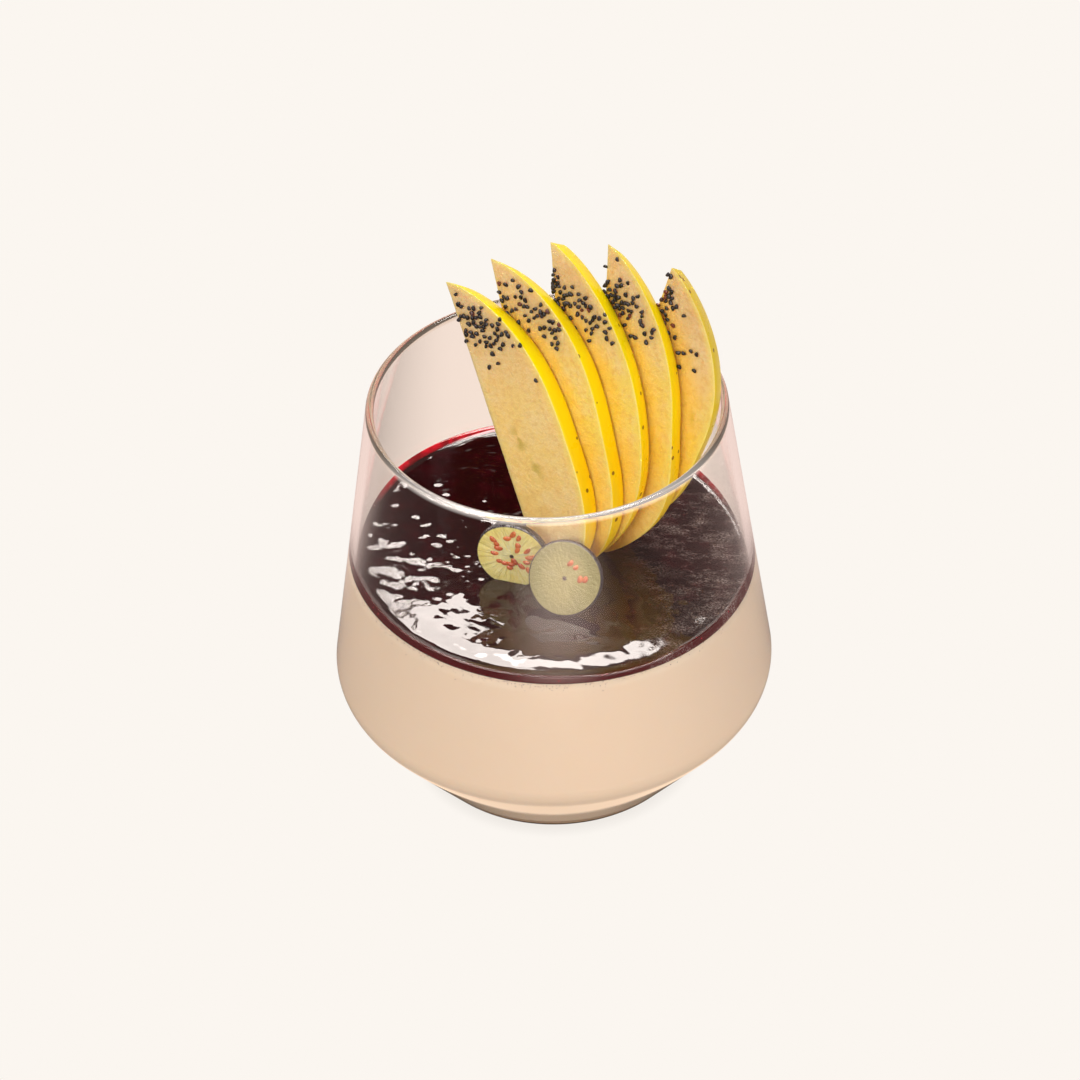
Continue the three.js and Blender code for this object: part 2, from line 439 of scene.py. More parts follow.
def makeCream():
    depth = glassPlan["wall"] - creamPlan["reach"]
    floor = glassPlan["floor"] - creamPlan["reach"]
    rings = [flat(p) for p in eased(hollowProfile(depth, floor))]
    shoulderTop = shoulderArc(depth, 1)[-1]
    steps = creamPlan["sideSteps"]
    for i in range(1, steps + 1):
        def ring(angles, share=i / steps):
            radius, height = wallMeets("cream", angles, depth)
            heights = shoulderTop[1] + (height - shoulderTop[1]) * share
            return np.array([wallRadius(h, depth) for h in heights]), heights
        rings.append(ring)
    for share in creamPlan["topRings"]:
        def ring(angles, share=share):
            radius, height = wallMeets("cream", angles, depth)
            radius = radius * share
            return radius, levelAt("cream", radius * np.cos(angles), radius * np.sin(angles))
        rings.append(ring)
    verts, faces = turnedGrid(rings, creamPlan["segments"])
    piece = addPiece("creamBody", verts, faces, [makeCreamMaterial()])
    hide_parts("cream")


makeCream()
print("cream made")


fanPlan = {"turn": 39.8, "tilt": 10.6, "front": 0.019, "thickness": 0.0043, "gap": 0.0003,
           "footLevel": 0.0519, "footLift": 0.00085, "roundness": 0.76}
slicePlans = [
    {"foot": 6.3, "lean": -29.7, "chord": 66.1, "bulge": 18, "fullness": 2.96,
     "peak": 0.83, "bulgeLoss": 0.2, "chordLoss": 3.3, "lowFull": 0},
    {"foot": 5.9, "lean": -21.7, "chord": 68, "bulge": 19.6, "fullness": 2.98,
     "peak": 0.84, "bulgeLoss": 0.4, "chordLoss": 3.7, "lowFull": 0},
    {"foot": 6.6, "lean": -12.2, "chord": 70.5, "bulge": 19.5, "fullness": 2.09,
     "peak": 0.92, "bulgeLoss": 1.2, "chordLoss": 2.9, "lowFull": 0.5},
    {"foot": 7.4, "lean": -4, "chord": 70.5, "bulge": 18.2, "fullness": 2.34,
     "peak": 0.94, "bulgeLoss": 0.8, "chordLoss": 4.2, "lowFull": 1.3},
    {"foot": 0.3, "lean": 12.4, "chord": 69.3, "bulge": 20.1, "fullness": 2.11,
     "peak": 1.23, "bulgeLoss": 1, "chordLoss": 3.3, "lowFull": 2.6},
]
turn, tilt = math.radians(fanPlan["turn"]), math.radians(fanPlan["tilt"])
plateNormal = np.array([-math.sin(turn) * math.cos(tilt), -math.cos(turn) * math.cos(tilt), math.sin(tilt)])
plateAlong = np.array([math.cos(turn), -math.sin(turn), 0.0])
plateUp = np.array([math.sin(tilt) * math.sin(turn), math.sin(tilt) * math.cos(turn), math.cos(tilt)])


def sliceEdges(index, t, back):
    # height along the chord and depth to the skin at share t of the way from the lower tip to the upper
    plan = slicePlans[index]
    start = fanPlan["footLift"] * back
    chord = (plan["chord"] - plan["chordLoss"] * back) * mm
    bulge = (plan["bulge"] - plan["bulgeLoss"] * back) * mm
    across = 2 * t ** plan["peak"] - 1
    depth = bulge * np.clip(1 - np.abs(across) ** plan["fullness"], 0, 1) ** fanPlan["roundness"]
    depth = depth + plan["lowFull"] * mm * smooth(0.0, 0.2, t) * smooth(0.52, 0.24, t)
    return start + chord * t, depth


def slicePoint(index, height, depth, offset):
    # place of a point by its height along the chord, depth from it and offset behind the front face
    plan = slicePlans[index]
    lean = math.radians(plan["lean"])
    front = fanPlan["front"] - index * (fanPlan["thickness"] + fanPlan["gap"])
    footUp = (fanPlan["footLevel"] - front * plateNormal[2]) / plateUp[2]
    along = plan["foot"] * mm + height * math.sin(lean) + depth * math.cos(lean)
    up = footUp + height * math.cos(lean) - depth * math.sin(lean)
    place = np.multiply.outer(front - offset, plateNormal)
    return place + np.multiply.outer(along, plateAlong) + np.multiply.outer(up, plateUp)


fleshPlan = {"tip": srgb(232, 198, 140), "middle": srgb(255, 216, 130), "throughLit": srgb(255, 224, 104),
             "foot": srgb(255, 222, 152), "pale": srgb(252, 228, 180), "cells": srgb(218, 158, 70),
             "clouds": srgb(246, 192, 112), "vein": srgb(196, 170, 60), "nearSkin": srgb(252, 222, 104),
             "edgeHighlight": srgb(255, 236, 130), "bounce": srgb(255, 200, 24), "shadedFoot": srgb(170, 112, 40)}
skinPlan = {"bright": srgb(255, 230, 0), "warm": srgb(254, 206, 0), "olive": srgb(186, 150, 20),
            "dot": srgb(110, 58, 16)}


def makeFleshMaterial(index):
    material, nodes, surface = newMaterial(f"fruitFlesh{index + 1}")
    height, mottle = grain(nodes, 1500)
    upShare = nodes.mask("upShare")
    # painted light: the slices behind the first get a more saturated yellow for light glowing through their flesh
    middle = fleshPlan["middle"] if index == 0 else fleshPlan["throughLit"]
    color = nodes.mix(nodes.ramp(upShare, 0.5, 0.9), middle, fleshPlan["tip"])
    # painted light: the lower part of each face turns lighter and paler
    color = nodes.mix(nodes.ramp(upShare, 0.4, 0.1), color, fleshPlan["foot"])
    color = nodes.mix(nodes.ramp(mottle, 0.42, 0.62, 0.0, 0.35), color, fleshPlan["pale"])
    cells = nodes.blobs(760, 4, rough=0.75)
    cellShare = nodes.ramp(cells, 0.47, 0.62, 0.0, 0.24 if index == 0 else 0.32)
    color = nodes.mix(cellShare, color, fleshPlan["cells"])
    clouds = nodes.blobs(70, 3)
    color = nodes.mix(nodes.ramp(clouds, 0.5, 0.72, 0.0, 0.25), color, fleshPlan["clouds"])
    vein = nodes.mask("vein")
    veinNoise = nodes.ramp(nodes.blobs(300, 3), 0.45, 0.6)
    vein = nodes.math("MULTIPLY", vein, nodes.math("MULTIPLY", veinNoise, 0.75))
    color = nodes.mix(vein, color, fleshPlan["vein"])
    skinDepth = nodes.mask("skinDepth")
    color = nodes.mix(nodes.ramp(skinDepth, 2.4, 0.3, 0.0, 0.45), color, fleshPlan["nearSkin"])
    # painted highlight: a thin lighter line on the cut face along the skin, strongest on the first slice
    edgeShine = nodes.ramp(skinDepth, 0.5, 0.22, 0.0, 0.35 if index == 0 else 0.12)
    color = nodes.mix(edgeShine, color, fleshPlan["edgeHighlight"])
    # painted bounce light: warm yellow on each face next to the skin of the slice in front
    beside = nodes.mask("beside")
    color = nodes.mix(nodes.math("MULTIPLY", beside, 0.5), color, fleshPlan["bounce"])
    # painted shade: the bottom of each slice behind the first darkens where it stands in the jam
    if index > 0:
        color = nodes.mix(nodes.ramp(upShare, 0.16, 0.02, 0.0, 0.7), color, fleshPlan["shadedFoot"])
    bump = nodes.math("ADD", height, nodes.math("MULTIPLY", cells, 1.2))
    feed(nodes, surface, color=color, roughness=nodes.ramp(mottle, 0.35, 0.65, 0.34, 0.52),
         normal=nodes.bump(bump, 1.0, 0.0003), subsurface=0.4, subsurfaceScale=0.004,
         subsurfaceRadius=(1.0, 0.6, 0.25), specular=0.3)
    return material


def makeSkinMaterial(index, olive):
    material, nodes, surface = newMaterial(f"fruitSkin{index + 1}")
    upShare = nodes.mask("upShare")
    color = nodes.mix(nodes.ramp(upShare, 0.75, 0.25), skinPlan["bright"], skinPlan["warm"])
    color = nodes.mix(nodes.ramp(nodes.blobs(90, 3), 0.4, 0.7, 0.0, 0.35), color, skinPlan["warm"])
    # painted shade: the skins further back turn darker olive, most of all on the last slice, which faces away
    color = nodes.mix(olive, color, skinPlan["olive"])
    dots = nodes.dots(330)
    spotSize = nodes.ramp(nodes.blobs(150, 1), 0.42, 0.60, 0.0, 0.16)
    spots = nodes.ramp(nodes.math("SUBTRACT", dots, spotSize), 0.03, -0.03)
    color = nodes.mix(nodes.math("MULTIPLY", spots, 0.85), color, skinPlan["dot"])
    pores = nodes.blobs(1400, 2)
    feed(nodes, surface, color=color, roughness=nodes.ramp(nodes.blobs(200, 3), 0.3, 0.7, 0.26, 0.4),
         normal=nodes.bump(nodes.math("SUBTRACT", nodes.math("MULTIPLY", pores, 0.4), spots), 0.25, 0.0002),
         subsurface=0.3, subsurfaceScale=0.003, subsurfaceRadius=(1.0, 0.65, 0.05), specular=0.2)
    return material


# veins: place along the chord, place across, size in mm
sliceLooks = [{"olive": 0.0, "veins": [(0.47, 0.30, 2.2), (0.40, 0.24, 1.8), (0.38, 0.42, 2.0)]},
              {"olive": 0.0, "veins": [(0.58, 0.25, 1.6)]},
              {"olive": 0.06, "veins": [(0.5, 0.55, 2.0)]},
              {"olive": 0.12, "veins": [(0.55, 0.6, 2.2)]},
              {"olive": 0.5, "veins": [(0.42, 0.6, 2.4), (0.6, 0.8, 1.5)]}]


sliceForm = {"rows": 150, "frontColumns": 40, "skinColumns": 12, "backColumns": 24, "cutColumns": 6,
             "edge": 0.00018, "crown": 0.00022, "faceRough": 0.00006, "backRough": 0.00005, "cutRough": 0.00008}


def makeSlice(index):
    form = sliceForm
    rows, edge = form["rows"], form["edge"]
    t = 0.5 - 0.5 * np.cos(np.pi * np.linspace(0.004, 0.996, rows))
    frontHeight, frontDepth = sliceEdges(index, t, 0)
    backHeight, backDepth = sliceEdges(index, t, 1)
    thick = fanPlan["thickness"]
    verts, upShare, skinDepth, veinMask, isSkin = [], [], [], [], []
    chord = slicePlans[index]["chord"]

    def addColumn(height, depth, offset, skinWay):
        verts.append(slicePoint(index, height, depth, offset))
        upShare.append(t)
        skinDepth.append(skinWay / mm)
        veins = np.zeros(rows)
        for (vt, vw, size) in sliceLooks[index]["veins"]:
            w = depth / np.maximum(frontDepth, 1e-6)
            d = np.hypot((t - vt) * chord / (size * 1.6), (w - vw) * frontDepth / mm / size)
            veins = np.maximum(veins, np.clip(1.2 - d, 0, 1))
        veinMask.append(veins)

    tips = smooth(0, 0.05, t) * smooth(0, 0.05, 1 - t)
    # front face, from the straight cut to the skin
    for s in np.linspace(0, 1, form["frontColumns"]) ** 0.9:
        relief = np.array([fbm(index * 5.3 + a * 60, s * 2.4, 1.7, 4) for a in t]) * form["faceRough"]
        depth = np.minimum(frontDepth * s, frontDepth - np.minimum(edge, frontDepth * 0.2))
        easing = relief - 0.00008 * smooth(0.0, 0.3, np.full(rows, 1 - s))
        addColumn(frontHeight, depth, -easing * tips, frontDepth - depth)
        isSkin.append(False)
    # skin, slightly crowned
    for k in range(form["skinColumns"]):
        s = k / (form["skinColumns"] - 1)
        offset = edge * 0.8 + (thick - edge * 1.6) * s
        depth = frontDepth * (1 - s) + backDepth * s
        height = frontHeight * (1 - s) + backHeight * s
        crown = form["crown"] * 4 * s * (1 - s) - 0.00006
        addColumn(height, depth + np.where(depth > 0.001, crown, 0), offset * np.ones(rows), np.zeros(rows))
        isSkin.append(True)
    # back face, from the skin to the straight cut
    for k in range(form["backColumns"]):
        s = 1 - k / (form["backColumns"] - 1)
        depth = np.minimum(backDepth * s, backDepth - np.minimum(edge, backDepth * 0.2))
        relief = np.array([fbm(index * 9.3 + a * 50, s * 2.2, 7.7, 3) for a in t]) * form["backRough"]
        addColumn(backHeight, depth, thick + relief * tips * 0.6, backDepth - depth)
        isSkin.append(False)
    # straight cut
    for k in range(1, form["cutColumns"] - 1):
        s = 1 - k / (form["cutColumns"] - 1)
        relief = np.array([fbm(index * 4.3 + a * 40, s, 2.7, 3) for a in t]) * form["cutRough"]
        height = frontHeight * (1 - s) + backHeight * s
        addColumn(height, relief - 0.00002, thick * s * np.ones(rows), np.full(rows, 0.006))
        isSkin.append(False)

    columns = len(verts)
    grid = np.stack(verts, 1).reshape(-1, 3)          # row by row
    beside = np.zeros(len(grid))
    if index > 0:
        # how close each point lies to the skin of the slice in front
        share = np.linspace(0.02, 0.98, 80)
        height, depth = sliceEdges(index - 1, share, 1)
        rim = slicePoint(index - 1, height, depth, np.full(80, thick))
        rimUp, rimAlong = rim @ plateUp, rim @ plateAlong
        order = np.argsort(rimUp)
        away = grid @ plateAlong - np.interp(grid @ plateUp, rimUp[order], rimAlong[order])
        beside = smooth(0.0060, 0.0005, away) * (grid @ plateUp < rimUp.max())
    faces, looks = [], []
    for row in range(rows - 1):
        for col in range(columns):
            nextCol = (col + 1) % columns
            a, b = row * columns + col, row * columns + nextCol
            faces.append((a, b, b + columns, a + columns))
            looks.append(1 if isSkin[col] and isSkin[nextCol] else 0)
    faces.append(tuple(range(columns - 1, -1, -1)))
    faces.append(tuple((rows - 1) * columns + c for c in range(columns)))
    looks += [0, 1]
    flesh = makeFleshMaterial(index)
    skin = makeSkinMaterial(index, sliceLooks[index]["olive"])
    piece = addPiece(f"fruitSlice{index + 1}", grid, faces, [flesh, skin], materialIndex=looks)
    addMask(piece, "upShare", np.stack(upShare, 1).ravel())
    addMask(piece, "skinDepth", np.stack(skinDepth, 1).ravel())
    addMask(piece, "vein", np.stack(veinMask, 1).ravel())
    addMask(piece, "beside", beside)
    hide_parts(f"fruit_slice_{index + 1}")


for index in range(len(slicePlans)):
    makeSlice(index)
print("fruit slices made")


jamPlan = {"reach": 0.00032, "step": 0.00036, "segments": 360, "sideSteps": 6, "bodyDrop": 0.0001,
           "climb": 0.0012, "climbWidth": 0.00085, "dome": 0.0009, "frontFall": 0.00066, "footClimb": 0.0006,
           "swell": 0.00026, "lie": 0.000085, "ripple": 0.000016, "dimples": 420, "random": 8,
           "deep": srgb(36, 3, 5), "lumps": srgb(66, 6, 16), "side": srgb(76, 3, 9),
           "sparks": srgb(200, 20, 50), "thin": srgb(224, 4, 40), "thinDark": srgb(150, 2, 22),
           "sheenHaze": srgb(200, 182, 178)}


def footSegments():
    # the lines where the slices stand, from the front lower tip to the back one
    lines = []
    for index in range(len(slicePlans)):
        one = slicePoint(index, np.array(0.0), np.array(0.0), np.array(0.0))
        two = slicePoint(index, np.array(fanPlan["footLift"]), np.array(0.0), np.array(fanPlan["thickness"]))
        lines.append((one[:2], two[:2]))
    return lines


def climbAt(y):
    # the jam climbs the wall, twice as far at the back as in front
    return jamPlan["climb"] * (0.5 + 0.5 * smooth(-0.004, 0.022, y))


def makeDimples():
    # small lumps and pits of the set jam: place, reach and height
    rng = random.Random(jamPlan["random"])
    dimples = []
    for i in range(jamPlan["dimples"]):
        angle, away = rng.uniform(0, 2 * math.pi), 0.038 * math.sqrt(rng.random())
        reach = rng.uniform(0.0004, 0.0013)
        height = reach * rng.uniform(-0.09, 0.12)
        dimples.append((away * math.cos(angle), away * math.sin(angle), reach, height))
    return np.array(dimples)


def jamRelief(x, y, wallGap, feet, dimples):
    # how far the set top lies above the plain sloping level
    swell = jamPlan["swell"] * fbm(x * 48 + 3.1, y * 52, 0.0, 2)
    lie = jamPlan["lie"] * fbm(x * 170 + 8, y * 250, 2.2, 3)
    ripple = jamPlan["ripple"] * fbm(x * 700, y * 950 + 5, 4.4, 2)
    dome = jamPlan["dome"] * (1 - (x * x + y * y) / 0.0015)
    near = dimples[(abs(dimples[:, 0] - x) < 0.003) & (abs(dimples[:, 1] - y) < 0.003)]
    spots = 0.0
    if len(near):
        away = (near[:, 0] - x) ** 2 + ((near[:, 1] - y) * 1.3) ** 2
        spots = float(np.sum(near[:, 3] * np.exp(-away / near[:, 2] ** 2)))
    height = (swell + lie + ripple + spots) * float(smooth(0.0002, 0.002, wallGap)) + dome
    # the front falls towards the wall, more so a little right of the middle
    fall = jamPlan["frontFall"] * (1 + 0.8 * float(smooth(0.0, 0.012, x)) * float(smooth(0.026, 0.018, x)))
    height -= fall * float(smooth(0.0065, 0.0, wallGap)) * float(smooth(-0.012, -0.030, y))
    height += climbAt(y) * math.exp(-wallGap / jamPlan["climbWidth"])
    nearest = 1.0
    for one, two in feet:
        along = two - one
        share = min(1, max(0, float(np.dot(np.array((x, y)) - one, along) / np.dot(along, along))))
        nearest = min(nearest, float(np.hypot(*(np.array((x, y)) - one - along * share))))
    return height + jamPlan["footClimb"] * math.exp(-nearest / 0.0011)


def makeJamMaterial():
    material, nodes, surface = newMaterial("berryJam")
    thin = nodes.mask("thin")
    side = nodes.mask("side")
    lumps = nodes.blobs(260, 4, rough=0.6)
    color = nodes.mix(nodes.ramp(lumps, 0.45, 0.75, 0.0, 0.6), jamPlan["deep"], jamPlan["lumps"])
    spark = nodes.ramp(nodes.dots(900), 0.22, 0.08)
    pick = nodes.ramp(nodes.blobs(500, 1), 0.55, 0.66)
    sideColor = nodes.mix(nodes.math("MULTIPLY", spark, pick), jamPlan["side"], jamPlan["sparks"])
    color = nodes.mix(side, color, sideColor)
    film = nodes.mix(nodes.ramp(nodes.blobs(330, 3), 0.46, 0.66), jamPlan["thin"], jamPlan["thinDark"])
    color = nodes.mix(thin, color, film)
    # painted sheen: a pale grey grainy haze on the right half, also raised a little in the bump
    toRight = nodes.ramp(nodes.place()[0], 0.010, 0.034)
    patch = nodes.math("MULTIPLY", toRight, nodes.ramp(nodes.blobs(120, 5, (1.0, 2.0, 1.0), 0.72), 0.42, 0.66))
    sheenHaze = nodes.math("MULTIPLY", patch, nodes.ramp(nodes.blobs(2300, 3, (1.0, 2.0, 1.0), 0.7), 0.42, 0.70))
    color = nodes.mix(nodes.math("MULTIPLY", sheenHaze, 0.9), color, jamPlan["sheenHaze"])
    fine = nodes.bump(nodes.math("ADD", nodes.math("MULTIPLY", sheenHaze, 2.0), nodes.blobs(1100, 3)), 0.06, 0.0001)
    feed(nodes, surface, color=color, roughness=nodes.ramp(nodes.blobs(140, 3), 0.35, 0.7, 0.02, 0.06),
         normal=fine, specular=0.5, ior=1.45, coat=0.3, coatRoughness=0.015)
    return material


def makeJam():
    plan = jamPlan
    feet, dimples = footSegments(), makeDimples()
    depth = glassPlan["wall"] - plan["reach"]
    segments = plan["segments"]
    angles = np.arange(segments) * 2 * math.pi / segments
    edgeRadius = wallMeets("jam", angles, depth, climbAt(0.038 * np.sin(angles)))[0]
    rings = int(0.042 / plan["step"])
    shares = [i / rings for i in range(1, rings + 1)]
    verts, thin, side = [], [], []
    centreTop = levelAt("jam", 0, 0) + jamRelief(0, 0, 0.04, feet, dimples)
    verts.append((0, 0, centreTop))
    thin.append(0)
    side.append(0)
    rows = []
    for share in shares:
        rows.append(range(len(verts), len(verts) + segments))
        for k in range(segments):
            x = edgeRadius[k] * share * math.cos(angles[k])
            y = edgeRadius[k] * share * math.sin(angles[k])
            gap = max(0.0, edgeRadius[k] * (1 - share) - plan["reach"])
            verts.append((x, y, levelAt("jam", x, y) + jamRelief(x, y, gap, feet, dimples)))
            thin.append(float(smooth(0.0011, 0.0004, gap) * smooth(0.010, 0.028, y)))
            side.append(float(smooth(0.0007, 0.0002, gap) * smooth(0.0, -0.012, y)))
    faces = [(0, rows[0][k], rows[0][(k + 1) % segments]) for k in range(segments)]
    lowHeight = wallMeets("cream", angles, depth, -plan["bodyDrop"])[1]
    topHeights = np.array([verts[k][2] for k in rows[-1]])
    steps = plan["sideSteps"]
    for i in range(1, steps + 1):
        rows.append(range(len(verts), len(verts) + segments))
        for k in range(segments):
            z = topHeights[k] + (lowHeight[k] - topHeights[k]) * i / steps
            r = wallRadius(z, depth)
            x, y = r * math.cos(angles[k]), r * math.sin(angles[k])
            verts.append((x, y, z))
            thin.append(float(smooth(0, 0.0007, z - levelAt("jam", x, y)) * smooth(0.010, 0.028, y)))
            side.append(1.0)
    for one, two in zip(rows[:-1], rows[1:]):
        faces += band(one, two)
    faces.append(tuple(reversed(rows[-1])))
    piece = addPiece("jamLayer", verts, faces, [makeJamMaterial()])
    addMask(piece, "thin", thin)
    addMask(piece, "side", side)
    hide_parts("jam")


makeJam()
print("jam made")


# painted light and shade: both berry slices are the same fruit, but the front one gets a darker, greyer flesh and
# the back one a much lighter flesh, for how the light falls on each
berryPlans = {
    "front": {"node": "berry_slice_front", "radius": 7.75, "centre": (2.5, -19.7, 61.0), "turn": 18, "lean": 30,
              "flesh": srgb(160, 149, 84), "pale": srgb(184, 170, 108), "edge": srgb(124, 118, 70), "seed": 11,
              "fibre": 0.12, "star": 0.2, "coat": 0.08, "rough": (0.30, 0.5), "pip": 1.25,
              "seeds": [(3.2, 0.35, 82), (4.25, 0.5, 74), (0.8, 3.3, 60), (2.0, 2.6, 30)]},
    "back": {"node": "berry_slice_back", "radius": 7.6, "centre": (-8.1, -12.2, 60.7), "turn": 17, "lean": 4,
             "flesh": srgb(255, 236, 148), "pale": srgb(255, 252, 204), "edge": srgb(222, 208, 104), "seed": 12,
             "fibre": 0.6, "star": 1.3, "coat": 0.45, "rough": (0.10, 0.3), "pip": 1.35,
             "seeds": [(-3.9, 3.6, -40), (-3.2, 2.6, -30), (-2.8, 1.6, 0), (-0.9, 4.4, 10), (1.5, 4.9, 80),
                       (1.3, 3.0, 70), (1.2, 1.9, 85), (3.3, 2.0, 50), (3.8, 0.4, 20), (4.6, 0.6, 30),
                       (3.2, -0.9, 10), (-3.6, 0.2, 0), (-2.6, -1.6, -5), (-1.5, -1.9, -10), (-0.2, -2.0, -20),
                       (0.6, -1.2, -40), (2.1, -2.1, -50), (3.7, -2.8, -45), (-0.4, -2.9, 0), (0.3, 5.6, 60)]},
}
berryForm = {"thick": 0.002, "segments": 160, "rings": 34, "fibres": srgb(244, 238, 200),
             "core": srgb(84, 62, 50), "skin": srgb(34, 22, 32)}
pipPlan = {"dark": srgb(184, 72, 20), "light": srgb(222, 126, 66), "halfLength": (0.5, 0.78),
           "halfWidth": (0.34, 0.5), "halfHeight": 0.36, "bend": 0.25}


def makeBerryMaterial(name, plan):
    material, nodes, surface = newMaterial(f"berryFlesh_{name}")
    radius = nodes.mask("berryRadius")
    ray = nodes.mask("berryRay")
    height, mottle = grain(nodes, 1300)
    color = nodes.mix(nodes.ramp(mottle, 0.4, 0.62, 0.0, 0.6), plan["flesh"], plan["pale"])
    color = nodes.mix(nodes.ramp(radius, 0.35, 0.9, 0.0, 0.5), color, plan["edge"])
    fibres = nodes.math("MULTIPLY", nodes.ramp(ray, 0.52, 0.68), nodes.ramp(radius, 0.75, 0.3))
    color = nodes.mix(nodes.math("MULTIPLY", fibres, plan["fibre"]), color, berryForm["fibres"])
    color = nodes.mix(nodes.ramp(radius, 0.075, 0.045), color, berryForm["core"])
    color = nodes.mix(nodes.ramp(radius, 0.945, 0.975), color, berryForm["skin"])
    star = nodes.math("MULTIPLY", nodes.ramp(ray, 0.3, 0.7), 0.8 * plan["star"])
    lumps = nodes.math("ADD", height, star)
    feed(nodes, surface, color=color, roughness=nodes.ramp(mottle, 0.35, 0.65, *plan["rough"]),
         normal=nodes.bump(lumps, 0.7, 0.0004), subsurface=0.3, subsurfaceScale=0.002,
         subsurfaceRadius=(0.9, 0.8, 0.35), coat=plan["coat"], coatRoughness=0.05)
    return material


def makePipMaterial():
    material, nodes, surface = newMaterial("berryPips")
    height, mottle = grain(nodes, 2600)
    color = nodes.mix(nodes.ramp(mottle, 0.38, 0.62), pipPlan["dark"], pipPlan["light"])
    feed(nodes, surface, color=color, roughness=nodes.ramp(mottle, 0.3, 0.7, 0.25, 0.45),
         normal=nodes.bump(height, 0.4, 0.00015), coat=0.3, coatRoughness=0.1)
    return material


pipMaterial = makePipMaterial()


def berryFrame(plan):
    turned, lean = math.radians(plan["turn"]), math.radians(plan["lean"])
    normal = Vector((-math.sin(turned) * math.cos(lean), -math.cos(turned) * math.cos(lean), math.sin(lean)))
    across = Vector((math.cos(turned), -math.sin(turned), 0))
    up = across.cross(normal) * -1
    if up.z < 0:
        up = -up
    return normal, across, up


def lump(verts, faces, centre, axes, sizes, bend, rings, segments):
    # one seed, pip or speck: an ellipsoid with a slight bend
    start = len(verts)
    for i in range(rings + 1):
        a = math.pi * i / rings
        for k in range(segments if 0 < i < rings else 1):
            b = 2 * math.pi * k / segments
            p = Vector((math.cos(a), math.sin(a) * math.cos(b), math.sin(a) * math.sin(b)))
            p.y += bend * (p.x * p.x - 0.4)
            place = centre + axes[0] * p.x * sizes[0] + axes[1] * p.y * sizes[1] + axes[2] * p.z * sizes[2]
            verts.append(tuple(place))

    def at(i, k):
        if i == 0:
            return start
        if i == rings:
            return start + 1 + (rings - 1) * segments
        return start + 1 + (i - 1) * segments + k % segments
    for i in range(rings):
        for k in range(segments):
            face = [at(i, k), at(i, k + 1), at(i + 1, k + 1), at(i + 1, k)]
            face = list(dict.fromkeys(face))
            if len(face) >= 3:
                faces.append(tuple(face[::-1]))


def makeBerry(name, plan):
    rng = random.Random(plan["seed"])
    normal, across, up = berryFrame(plan)
    centre = Vector(plan["centre"]) * mm
    radius = plan["radius"] * mm
    segments, rings = berryForm["segments"], berryForm["rings"]
    angles = [2 * math.pi * k / segments for k in range(segments)]

    def place(angle, share, drop):
        outline = 1 + 0.012 * math.sin(2 * angle + plan["seed"]) + 0.008 * math.sin(3 * angle + 1)
        r = radius * outline * share
        return tuple(centre + across * (r * math.cos(angle)) + up * (r * math.sin(angle)) - normal * drop)

    verts, far, rays, rows = [tuple(centre - normal * 0.0001)], [0.0], [0.5], []

    def addRow(share, drops, away, rowRays):
        rows.append(range(len(verts), len(verts) + segments))
        verts.extend(place(angle, share, drop) for angle, drop in zip(angles, drops))
        far.extend([away] * segments)
        rays.extend(rowRays)

    # cut face, with faint rays and a rounded edge
    for r in range(1, rings + 1):
        share = r / rings
        stars = [fbm(math.cos(a) * 9 + plan["seed"], math.sin(a) * 9, share * 1.6, 3) for a in angles]
        dips = [0.00010 + 0.00012 * plan["star"] * star * (1 - share) * min(1, share * 5) for star in stars]
        easing = 1 - float(smooth(0.9, 1.0, share)) * 0.6
        edge = 0.00028 * float(smooth(0.96, 1.0, share))
        drops = [dip * easing + edge for dip in dips]
        addRow(min(share, 0.995), drops, share, [0.5 + 0.5 * star for star in stars])
    # skin and back
    for drop, share in ((0.0006, 1.0), (0.0010, 1.004), (0.0014, 1.0), (0.0018, 0.985), (0.002, 0.95)):
        addRow(share, [drop] * segments, 1.0, [0.5] * segments)
    addRow(0.5, [berryForm["thick"]] * segments, 0.6, [0.5] * segments)
    faces = [(0, rows[0][k], rows[0][(k + 1) % segments]) for k in range(segments)]
    for one, two in zip(rows[:-1], rows[1:]):
        faces += band(one, two)
    faces.append(tuple(reversed(rows[-1])))
    piece = addPiece(f"berrySlice_{name}", verts, faces, [makeBerryMaterial(name, plan)])
    addMask(piece, "berryRadius", far)
    addMask(piece, "berryRay", rays)
    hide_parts(plan["node"])
    pipVerts, pipFaces = [], []
    for x, y, angle in plan["seeds"]:
        a = math.radians(angle + rng.uniform(-12, 12))
        long = across * math.cos(a) + up * math.sin(a)
        wide = normal.cross(long)
        spot = centre + across * x * mm + up * y * mm - normal * 0.00012
        halfLength = rng.uniform(*pipPlan["halfLength"]) * mm * plan["pip"]
        halfWidth = rng.uniform(*pipPlan["halfWidth"]) * mm * plan["pip"]
        sizes = (halfLength, halfWidth, pipPlan["halfHeight"] * mm)
        lump(pipVerts, pipFaces, spot, (long, wide, normal), sizes, pipPlan["bend"], 8, 12)
    pips = addPiece(f"berryPips_{name}", pipVerts, pipFaces, [pipMaterial])


for name, plan in berryPlans.items():
    makeBerry(name, plan)
print("berry slices made")


